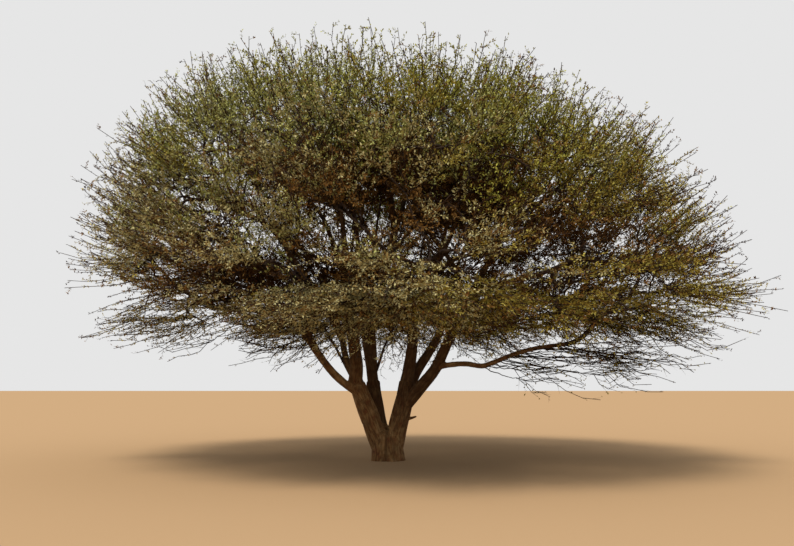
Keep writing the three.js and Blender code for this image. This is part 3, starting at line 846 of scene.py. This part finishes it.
def clear_of_limbs(start, end, radius):
    """True where a straight rod stays off every limb."""
    rod = end - start
    share = np.clip((limb_middles - start) @ rod / (rod @ rod), 0, 1)
    gaps = np.linalg.norm(limb_middles - start - share[:, None] * rod, axis=1) - limb_radii
    return gaps.min() > radius + SPACE_MARGIN


def thickness(count):
    """A twig's radius, by how many ends it leads to."""
    return TWIG_RADIUS * count**FORK_POWER


def parted(ends, start):
    """The two parts of a group of ends, larger first, by the two that stand furthest apart from the fork."""
    ways = unit(ends[:, :3] - start)
    first, second = np.unravel_index((ways @ ways.T).argmin(), (len(ends), len(ends)))
    near_first = ways @ ways[first] >= ways @ ways[second]
    parts = [ends[near_first], ends[~near_first]]
    return sorted(parts, key=len, reverse=True)


def grow_twig(name, knots, ends, twigs):
    """A twig that runs on from knot to knot with the larger part, and a new one for the smaller."""
    start = knots[-1][:3]
    alone = len(ends) == 1
    end = start + (ends[:, :3].mean(0) - start) * (1 if alone else FORK_REACH)
    radius = TWIG_RADIUS * TWIG_TIP_SHARE if alone else thickness(len(ends))
    if not inside_space(end, name) or not clear_of_limbs(start, end, radius):
        if len(knots) > 1:
            twigs.append({"knots": np.array(knots), "leafy": False})
        return
    knots = [*knots, np.append(end, radius)]
    if alone:
        twigs.append({"knots": np.array(knots), "leafy": True, "bare": ends[0][3]})
        return
    larger, smaller = parted(ends, end)
    grow_twig(name, knots, larger, twigs)
    if len(smaller):
        grow_twig(name, [np.append(end, min(radius / 2, thickness(len(smaller))))], smaller, twigs)


def grow_stem(foot, heading, fork, radius):
    """The knots of the stem that bends from a bough's tip to the first fork of its mass."""
    bend = foot + heading * np.linalg.norm(fork - foot) / 2
    share = np.linspace(0, 1, STEM_STEPS)[:, None]
    line = foot * (1 - share) ** 2 + bend * 2 * share * (1 - share) + fork * share**2
    radii = BOUGH_TIP_RADIUS + (radius - BOUGH_TIP_RADIUS) * share
    return np.hstack([line - heading * STEM_SUNK * (1 - share), radii])


def grow_trailing_twig(limb, share, length, fall, spread):
    """The knots of a bare twig that leaves a limb at a share of the limb's length."""
    start, heading, _ = at_share(limb, share)
    aside = unit(np.cross(heading, UP)) * math.tan(math.radians(spread)) * growth.uniform(-1, 1)
    away = unit(heading * (1, 1, 0)) + aside - UP * fall * growth.uniform(*TRAILING_FALLS)
    steps = np.linspace(0, 1, TRAILING_KNOTS)[:, None]
    curl = UP * fall * TRAILING_CURL * steps**2 / 2
    line = start + (away * steps + curl) * length * growth.uniform(*TRAILING_LENGTHS)
    radii = TRAILING_RADIUS + (TRAILING_TIP_RADIUS - TRAILING_RADIUS) * steps
    return np.hstack([line, radii])


twigs = []
stems = []
for name, mass in masses.items():
    ends = np.array(mass["ends"])
    foot, heading = limbs[name]["middles"][-1], limbs[name]["ways"][-1]
    fork = foot + (ends[:, :3].mean(0) - foot) * FORK_REACH + heading * STEM_RUN_ON
    radius = thickness(len(ends)) * STEM_END_SHARE
    stems.append(grow_stem(foot, heading, fork, radius))
    for part in parted(ends, fork):
        grow_twig(name, [np.append(fork, radius * FIRST_TWIG_SHARE)], part, twigs)

for bough, first, last, count, length, fall, spread in TRAILING_TWIGS:
    for share in np.linspace(first, last, count):
        knots = grow_trailing_twig(limbs[bough], share, length, fall, spread)
        twigs.append({"knots": knots, "leafy": True, "bare": 1.0})


def tubes(knots, sides):
    """Closed tapering tubes through rows of knots, each a place and a radius, with four-cornered walls."""
    count, steps = knots.shape[:2]
    middles, radii = knots[..., :3], knots[..., 3]
    ways = unit(np.gradient(middles, axis=1))
    lead = unit(ways.mean(1))
    aside = np.where(np.abs(lead[:, 2:]) < 0.9, UP, (0.0, 1.0, 0.0))
    side = unit(np.cross(lead, aside))[:, None]
    side = unit(side - ways * (side * ways).sum(-1, keepdims=True))
    other = np.cross(ways, side)
    angle = np.arange(sides) * 2 * math.pi / sides
    ring = side[:, :, None] * np.cos(angle)[:, None] + other[:, :, None] * np.sin(angle)[:, None]
    points = middles[:, :, None] + ring * radii[..., None, None]
    step, corner = np.meshgrid(np.arange(steps - 1), np.arange(sides), indexing="ij")
    after = (corner + 1) % sides
    low, high = step * sides, (step + 1) * sides
    walls = np.stack([low + corner, low + after, high + after, high + corner], axis=-1).reshape(-1, 4)
    first = np.arange(count)[:, None, None] * steps * sides
    return points.reshape(-1, 3), (walls + first).reshape(-1, 4), first.ravel(), steps * sides


def mesh_piece(name, points, loops, sizes):
    """A mesh piece from its points, its faces' corners in a row, and how many corners each face has."""
    mesh = bpy.data.meshes.new(name)
    mesh.vertices.add(len(points))
    mesh.vertices.foreach_set("co", points.astype(np.float32).ravel())
    mesh.loops.add(len(loops))
    mesh.loops.foreach_set("vertex_index", loops.astype(np.int32))
    mesh.polygons.add(len(sizes))
    mesh.polygons.foreach_set("loop_start", np.append(0, sizes.cumsum()[:-1]).astype(np.int32))
    mesh.update(calc_edges=True)
    piece = bpy.data.objects.new(name, mesh)
    bpy.context.collection.objects.link(piece)
    return piece


def tube_piece(name, rows, sides):
    """One piece of closed tubes, from rows of knots of several lengths."""
    points, loops, sizes, count = [], [], [], 0
    for knots in rows:
        some, walls, firsts, span = tubes(knots, sides)
        foot = firsts[:, None] + np.arange(sides)[::-1]
        tip = firsts[:, None] + span - sides + np.arange(sides)
        caps = np.concatenate([foot, tip])
        points.append(some)
        loops.extend([(walls + count).ravel(), (caps + count).ravel()])
        sizes.extend([np.full(len(walls), 4), np.full(len(caps), sides)])
        count += len(some)
    return mesh_piece(name, np.concatenate(points), np.concatenate(loops), np.concatenate(sizes))


def by_length(rows):
    """Rows of knots stacked with others of the same length."""
    lengths = sorted({len(row) for row in rows})
    return [np.stack([row for row in rows if len(row) == length]) for length in lengths]


fine_twigs = []
for twig in twigs:
    knots = twig["knots"]
    line = smooth_line(knots[:, :3], TWIG_FINENESS)
    line[1:-1] += growth.normal(0, TWIG_WOBBLE, (len(line) - 2, 3))
    radii = np.interp(np.linspace(0, 1, len(line)), np.linspace(0, 1, len(knots)), knots[:, 3])
    fine_twigs.append(np.column_stack([line, radii]))
for through in THIN_LIMBS:
    line = smooth_line(through, TWIG_FINENESS)
    fine_twigs.append(np.column_stack([line, np.linspace(*THIN_LIMB_RADII, len(line))]))
foliage_nodes = [f"foliage_{name}" for name in masses]
twig_piece = tube_piece("twigs", [np.stack(stems), *by_length(fine_twigs)], TWIG_SIDES)


# Twig bark: the young wood is smooth and grey-brown, darker than the trunk, with paler patches of
# weathered skin a few centimetres long.
TWIG_DARK = "2c2320"
TWIG_PALE = "4c4038"
TWIG_PATCH_MM = 60
TWIG_WEATHERED = (0.4, 0.65)
TWIG_ROUGHNESS = 0.9
TWIG_SPECULAR = 0.04

twig_bark, shader = new_material("young acacia bark")
where = add_node(twig_bark, "ShaderNodeTexCoord").outputs["Object"]
weathered = share_between(twig_bark, patches_of(twig_bark, where, TWIG_PATCH_MM, 2.0), TWIG_WEATHERED)
color = mix_colors(twig_bark, weathered, linear(TWIG_DARK), linear(TWIG_PALE))
twig_bark.node_tree.links.new(color, shader.inputs["Base Color"])
make_matt(shader, TWIG_ROUGHNESS, TWIG_SPECULAR)
finish_piece(twig_piece, twig_bark, "bark", *foliage_nodes)


# The shoots: the last metre and more of growth. Each twig end carries a fan of slim shoots that leave it at
# a sharp angle and bend up towards the light, nearly side by side, so that the crown ends in a fringe of
# single tips. Side shoots leave each of them at a sharp angle too, spread flatter in the low tiers.
SHOOTS_PER_TWIG = 4
SHOOT_LENGTH = 1.4
SHOOT_LENGTH_LEAST = 0.75
SHOOT_RADIUS = 0.0075
SHOOT_TIP_RADIUS = 0.0055
SHOOT_STEPS = 5
SHOOT_SPACING = 0.22
FAN_DEPTH = 0.9
FAN_LENGTH_MOST = 1.2
SHOOT_LEAN_FIRST = math.radians(10)
SHOOT_LEAN_LEAST = math.radians(18)
SHOOT_LEAN_MOST = math.radians(54)
SHOOT_OUTWARD = 0.35
SHOOT_SWEEP = 2
SHOOT_LIFT_AT_BRIM = 0.06
SHOOT_LIFT = 1.7
SHOOT_END_WANDER = 0.1
SHOOT_WANDER = 0.12
BARE_CROOKEDNESS = 1.2
BRIM_RISE_SHARE = 0.45
LONGER_AT_BRIM = 0.3
CLOSER_AT_BRIM = 0.4
HANGING_FALL = 0.16
HANGING_SHARE_OF_LENGTH = 0.75
FLAT_BELOW_RISE = 0.9
FLATNESS = 0.88
SIDE_SHOOTS = 6
SIDE_SHOOT_LENGTH = 0.46
SIDE_SHOOT_TIP_SHARE = 0.4
SIDE_SHOOT_RADIUS = 0.0045
SIDE_SHOOT_ANGLE = math.radians(54)
SIDE_SHOOT_PLACES = (0.1, 0.9)
SIDE_SHOOT_ANGLES = (0.7, 1.35)
SIDE_SHOOT_ROLLS = (-1.1, 1.1)
SIDE_SHOOT_SIZES = (0.5, 1.1)


def turned_off(ways, angle, roll, flat):
    """Ways that leave the given ones by an angle, rolled round them, pressed level by a share."""
    across = np.cross(ways, UP)
    across = unit(across + 1e-6)
    over = np.cross(across, ways)
    off = across * np.cos(roll)[:, None] + over * (np.sin(roll) * (1 - flat))[:, None]
    return unit(ways * np.cos(angle)[:, None] + unit(off) * np.sin(angle)[:, None])


def shoot_roots(ends, before):
    """Where the shoots leave their twigs: the first of a fan at the twig's end, the others further back."""
    back = np.minimum(place_in_fan * SHOOT_SPACING, FAN_DEPTH)
    back *= np.minimum(1, FAN_LENGTH_MOST / np.linalg.norm(ends - before, axis=1))
    return ends + (before - ends) * back[:, None]


def shoot_ways(run, out):
    """The ways in which the shoots leave their twigs, and those in which they end."""
    base = unit(out + (run - out) * SHOOT_OUTWARD)
    sweeping = unit(unit(out * (1, 1, 0)) * SHOOT_SWEEP + run)
    base = np.where(bare[:, None] > 0, sweeping, base)
    lift = SHOOT_LIFT_AT_BRIM + SHOOT_LIFT * rise_share * (1 - rise_share)
    lean = growth.uniform(SHOOT_LEAN_LEAST, SHOOT_LEAN_MOST, shoot_count)
    lean = np.where(place_in_fan == 0, growth.uniform(0, SHOOT_LEAN_FIRST, shoot_count), lean)
    lean *= 1 - CLOSER_AT_BRIM * near_brim * (1 - bare)
    leaving = unit(base + UP * (lift / 2 - HANGING_FALL * bare)[:, None])
    leaving = turned_off(leaving, lean, growth.uniform(0, 2 * math.pi, shoot_count), flat)
    arriving = unit(base + UP * lift[:, None] + growth.normal(0, SHOOT_END_WANDER, (shoot_count, 3)))
    return leaving, arriving


tips = [twig for twig in twigs if twig["leafy"]]
tip_places = np.array([twig["knots"][-1, :3] for twig in tips])
spray = np.arange(len(tips)).repeat(SHOOTS_PER_TWIG)
place_in_fan = np.tile(np.arange(SHOOTS_PER_TWIG), len(tips))
shoot_count = len(spray)
bare = np.array([twig["bare"] for twig in tips])[spray]
ends = tip_places[spray]
before = np.array([twig["knots"][-2, :3] for twig in tips])[spray]
out = unit(ends - HEART)
rise_share = np.clip(out[:, 2], 0, 1)
near_brim = np.clip(1 - rise_share / BRIM_RISE_SHARE, 0, 1)
flat = FLATNESS * np.clip(1 - rise_share / FLAT_BELOW_RISE, 0, 1)

leaving, arriving = shoot_ways(unit(ends - before), out)
lengths = growth.uniform(SHOOT_LENGTH_LEAST, SHOOT_LENGTH, shoot_count) * (1 + LONGER_AT_BRIM * near_brim)
lengths *= np.where(bare > 0, HANGING_SHARE_OF_LENGTH, 1)
share = np.linspace(0, 1, SHOOT_STEPS)[None, :, None]
headings = unit(leaving[:, None] + (arriving - leaving)[:, None] * share)
crooked = SHOOT_WANDER * (1 + BARE_CROOKEDNESS * bare[:, None, None])
headings = unit(headings + crooked * growth.normal(0, 1, headings.shape))
strides = headings[:, :-1] * (lengths / (SHOOT_STEPS - 1))[:, None, None]
lines = np.concatenate([np.zeros((shoot_count, 1, 3)), strides.cumsum(1)], axis=1)
lines += shoot_roots(ends, before)[:, None]
radii = SHOOT_RADIUS + (SHOOT_TIP_RADIUS - SHOOT_RADIUS) * share
shoot_knots = np.concatenate([lines, radii.repeat(shoot_count, axis=0)], axis=2)
shoot_piece = tube_piece("shoots", [shoot_knots], 3)
finish_piece(shoot_piece, twig_bark, "bark", *foliage_nodes)


def grow_side_shoots(owner):
    """The side shoots of the shoots: where each stands as a share of its shoot's length, its foot and tip."""
    order = np.tile(np.arange(SIDE_SHOOTS), shoot_count)
    along = (order + growth.uniform(*SIDE_SHOOT_PLACES, len(order))) / SIDE_SHOOTS
    step = np.minimum((along * (SHOOT_STEPS - 1)).astype(int), SHOOT_STEPS - 2)
    part = (along * (SHOOT_STEPS - 1) - step)[:, None]
    feet = lines[owner, step] * (1 - part) + lines[owner, step + 1] * part
    angle = SIDE_SHOOT_ANGLE * growth.uniform(*SIDE_SHOOT_ANGLES, len(order))
    roll = order * math.pi + growth.uniform(*SIDE_SHOOT_ROLLS, len(order)) + owner
    ways = turned_off(headings[owner, step], angle, roll, flat[owner])
    size = SIDE_SHOOT_LENGTH * (1 - (1 - SIDE_SHOOT_TIP_SHARE) * along)
    size *= growth.uniform(*SIDE_SHOOT_SIZES, len(order))
    return along, feet, feet + ways * size[:, None]


def spike_piece(name, feet, points, radius):
    """One piece of slim three-sided spikes, each closed by its foot and its point."""
    ways = unit(points - feet)
    side = unit(np.cross(ways, UP) + 1e-6)
    other = np.cross(ways, side)
    angle = np.arange(3) * 2 * math.pi / 3
    ring = side[:, None] * np.cos(angle)[:, None] + other[:, None] * np.sin(angle)[:, None]
    corners = np.concatenate([feet[:, None] + ring * radius, points[:, None]], axis=1)
    faces = np.array([(0, 1, 3), (1, 2, 3), (2, 0, 3), (2, 1, 0)])
    loops = (np.arange(len(feet))[:, None, None] * 4 + faces).ravel()
    return mesh_piece(name, corners.reshape(-1, 3), loops, np.full(len(feet) * 4, 3))


owner = np.arange(shoot_count).repeat(SIDE_SHOOTS)
side_along, side_feet, side_tips = grow_side_shoots(owner)
side_shoots = spike_piece("side_shoots", side_feet, side_tips, SIDE_SHOOT_RADIUS)
finish_piece(side_shoots, twig_bark, "bark", *foliage_nodes)


# The leaves: feathery and small, in tufts that hug the shoots and side shoots all the way, drawn as one
# narrow folded blade each and larger than life, since the real crown has millions of leaflets. The leaves
# of one side shoot have one tint: greenish in the light on top, drier low down, and painted shade, dark
# brown, within the crown, in the recess between its tiers and at the shoot tips, with painted light on the
# tops of clumps and high up.
LEAVES_PER_SIDE_SHOOT = 12
LEAVES_PER_SHOOT_STEP = 6
LEAF_LENGTH = 0.064
LEAF_WIDTH = 0.03
LEAF_FOLD = 0.3
LEAF_WIDEST_AT = 0.48
LEAF_SIZES = (0.75, 1.3)
TIP_SMALLER = 0.28
INNER_LARGER = 0.5
INNER_DEPTH = (0.45, 0.75)
LEAF_PLACES = (0.1, 1)
LEAF_ANGLE = math.radians(50)
LEAF_ANGLES = (0.5, 1.4)
LEAF_FLATNESS = 0.5
LEAF_TUMBLE = 0.35
LEAF_ROUGHNESS = 0.85
LEAF_SPECULAR = 0.02
BARE_LEAVES_SHARE = 0.14
FIRST_STALK_OUTNESS = 0.3
BARE_TIP_FROM = 0.75
BARE_TIP_SHARE = 0.55
# The first two tints are painted shade: dark browns for the leaves deep in the crown, in the recess between
# the tiers and at the shoot tips.
TINTS = {
    "leaves_shaded": "3c2813",
    "leaves_half_shaded": "82643a",
    "leaves_dry": "afa97c",
    "leaves_olive": "9e944b",
    "leaves_green": "a5a96a",
    "leaves_sunny": "9e9e4c",
}
# The shares of the leaves that get the two painted-shade tints.
SHADED_SHARE = 0.24
HALF_SHADE_SHARE = 0.17
# Painted shade on the leaves at the shoot tips.
PAINTED_SHADE_AT_TIPS = 1.2
# Painted light: a clump's top is dealt lighter tints than its underside, up to this height above its middle.
PAINTED_LIGHT_ON_TOPS = 0.25
TOP_HEIGHT = 0.5
TINT_WANDER = 0.05
UNDERSIDE_WANDER = 0.08
SIDE_WANDER = (0.45, 0.35, 0.15)
HEIGHT_WANDER = 0.2
# Painted shade in the recess between the low tier and the upper tiers, most towards the right and front.
RECESS_RISE = math.radians(6.5)
RECESS_HALF_RISE = math.radians(5)
PAINTED_SHADE_IN_RECESS = 0.42
# Painted light high in the crown: stalks that rise above this are dealt lighter tints.
HIGH_FROM = 0.3
PAINTED_LIGHT_HIGH_UP = 0.5
# Below these heights stalks count as outer, so the painted shade of the crown's depth spares the leaves low
# under it.
UNDERSIDE_HEIGHTS = (3.1, 3.6)
UNDERSIDE_MARK = 1.0

# Their stalks: every side shoot, and every step of a shoot but the first.
outer = lines[:, 1:]
stalk_feet = np.concatenate([side_feet, outer[:, :-1].reshape(-1, 3)])
stalk_heads = np.concatenate([side_tips, outer[:, 1:].reshape(-1, 3)])
stalk_shoot = np.concatenate([owner, np.arange(shoot_count).repeat(SHOOT_STEPS - 2)])
shoot_outness = np.linspace(FIRST_STALK_OUTNESS, 1, SHOOT_STEPS - 2)
stalk_outness = np.concatenate([side_along, np.tile(shoot_outness, shoot_count)])
stalk_count = np.full(len(stalk_feet), LEAVES_PER_SHOOT_STEP)
stalk_count[:len(owner)] = LEAVES_PER_SIDE_SHOOT
stalk_ways = unit(stalk_heads - stalk_feet)
stalk_out = stalk_heads - HEART
stalk_depth = np.linalg.norm(stalk_out, axis=1)
stalk_out = unit(stalk_out)
stalk_rise = np.arcsin(stalk_out[:, 2])
stalk_depth /= reach(np.arctan2(stalk_out[:, 1], stalk_out[:, 0]), stalk_rise)
bare_tip = BARE_TIP_SHARE * np.clip((stalk_outness - BARE_TIP_FROM) / (1 - BARE_TIP_FROM), 0, 1)
leafiness = (1 - bare[stalk_shoot] * (1 - BARE_LEAVES_SHARE)) * (1 - bare_tip)
inness = np.interp(stalk_depth, INNER_DEPTH, (1, 0))


def dealt_tints():
    """The number of each stalk's tint: first by depth in the crown as painted shade, which is also laid in
    the recess between the tiers and on the shoot tips, with painted light high up and on a clump's top, which
    counts as further out than its underside, and with low stalks under the crown counted as outer; and then,
    for the outer leaves, by side and height."""
    spray_of_stalk = spray[stalk_shoot]
    clump_of_spray = np.array([np.linalg.norm(clumps - place, axis=1).argmin() for place in tip_places])
    clump = clump_of_spray[spray_of_stalk]
    clump_tone = growth.normal(0, TINT_WANDER, CLUMPS)
    clump_side = growth.normal(0, SIDE_WANDER[0], CLUMPS)
    # Painted light on a clump's top, painted shade on its underside.
    over_clump = np.clip((stalk_heads - clumps[clump])[:, 2], -TOP_HEIGHT, TOP_HEIGHT)
    # Painted shade in the recess between the tiers.
    recess = np.clip(1 - np.abs(stalk_rise - RECESS_RISE) / RECESS_HALF_RISE, 0, 1)
    recess *= np.clip(stalk_out[:, 0] - stalk_out[:, 1] / 2, 0, 1)
    # Painted shade by depth in the crown, which spares the stalks low under it.
    underside = UNDERSIDE_MARK * np.interp(stalk_heads[:, 2], UNDERSIDE_HEIGHTS, (1, 0))
    painted_light_mark = np.maximum(stalk_depth, underside)
    # Painted light high in the crown.
    painted_light_mark += PAINTED_LIGHT_HIGH_UP * np.maximum(0, stalk_out[:, 2] - HIGH_FROM)
    painted_light_mark += PAINTED_LIGHT_ON_TOPS * over_clump - PAINTED_SHADE_AT_TIPS * bare_tip - PAINTED_SHADE_IN_RECESS * recess + clump_tone[clump]
    spray_tone, spray_side, spray_height = growth.normal(0, 1, (3, len(tips)))[:, spray_of_stalk]
    own_tone, own_side = growth.normal(0, 1, (2, len(stalk_feet)))
    painted_light_mark += TINT_WANDER * spray_tone + (TINT_WANDER + UNDERSIDE_WANDER * underside) * own_tone
    side_mark = stalk_out[:, 0] + clump_side[clump] + SIDE_WANDER[1] * spray_side + SIDE_WANDER[2] * own_side
    height_mark = stalk_out[:, 2] + HEIGHT_WANDER * spray_height
    # The darkest stalks get the two painted-shade tints.
    shaded, half_shade_limit = np.quantile(painted_light_mark, (SHADED_SHARE, SHADED_SHARE + HALF_SHADE_SHARE))
    is_outer = painted_light_mark >= half_shade_limit
    on_right = side_mark > np.median(side_mark[is_outer])
    right_middle = np.median(height_mark[is_outer & on_right])
    left_middle = np.median(height_mark[is_outer & ~on_right])
    high = height_mark > np.where(on_right, right_middle, left_middle)
    kinds = [painted_light_mark < shaded, ~is_outer, ~high & ~on_right, ~high, ~on_right]
    return np.select(kinds, range(len(kinds)), len(kinds))


def grow_leaves():
    """Each leaf's stalk, and its corners: its root, one edge, its tip and the other edge."""
    stalk = np.arange(len(stalk_feet)).repeat(stalk_count)
    order = np.arange(len(stalk)) - (stalk_count.cumsum() - stalk_count)[stalk]
    kept = growth.random(len(stalk)) < leafiness[stalk]
    stalk, order = stalk[kept], order[kept]
    total = len(stalk)
    along = (order + growth.uniform(*LEAF_PLACES, total)) / stalk_count[stalk]
    roots = stalk_feet[stalk] + (stalk_heads - stalk_feet)[stalk] * along[:, None]
    angle = LEAF_ANGLE * growth.uniform(*LEAF_ANGLES, total)
    roll = order * GOLDEN_ANGLE + growth.uniform(0, 1, total)
    ways = turned_off(stalk_ways[stalk], angle, roll, flat[stalk_shoot[stalk]] * LEAF_FLATNESS)
    facing = unit(UP + growth.normal(0, LEAF_TUMBLE, (total, 3)))
    sides = unit(np.cross(ways, facing))
    size = growth.uniform(*LEAF_SIZES, total) * (1 - TIP_SMALLER * stalk_outness[stalk])
    size = (size * (1 + INNER_LARGER * inness[stalk]))[:, None]
    blade = ways * LEAF_LENGTH * size
    wide = sides * LEAF_WIDTH / 2 * size
    middle = roots + blade * LEAF_WIDEST_AT + np.cross(sides, ways) * LEAF_WIDTH / 2 * LEAF_FOLD * size
    return stalk, np.stack([roots, middle - wide, roots + blade, middle + wide], axis=1)


tint_of_stalk = dealt_tints()
stalk_of_leaf, leaf_points = grow_leaves()
leaf_faces = np.array([(0, 1, 2), (0, 2, 3)])
for number, name in enumerate(TINTS):
    leaf, shader = new_material(name.replace("_", " "))
    shader.inputs["Base Color"].default_value = linear(TINTS[name])
    make_matt(shader, LEAF_ROUGHNESS, LEAF_SPECULAR)
    points = leaf_points[tint_of_stalk[stalk_of_leaf] == number]
    loops = (np.arange(len(points))[:, None, None] * 4 + leaf_faces).ravel()
    piece = mesh_piece(name, points.reshape(-1, 3), loops, np.full(len(points) * 2, 3))
    finish_piece(piece, leaf, "foliage", *foliage_nodes)
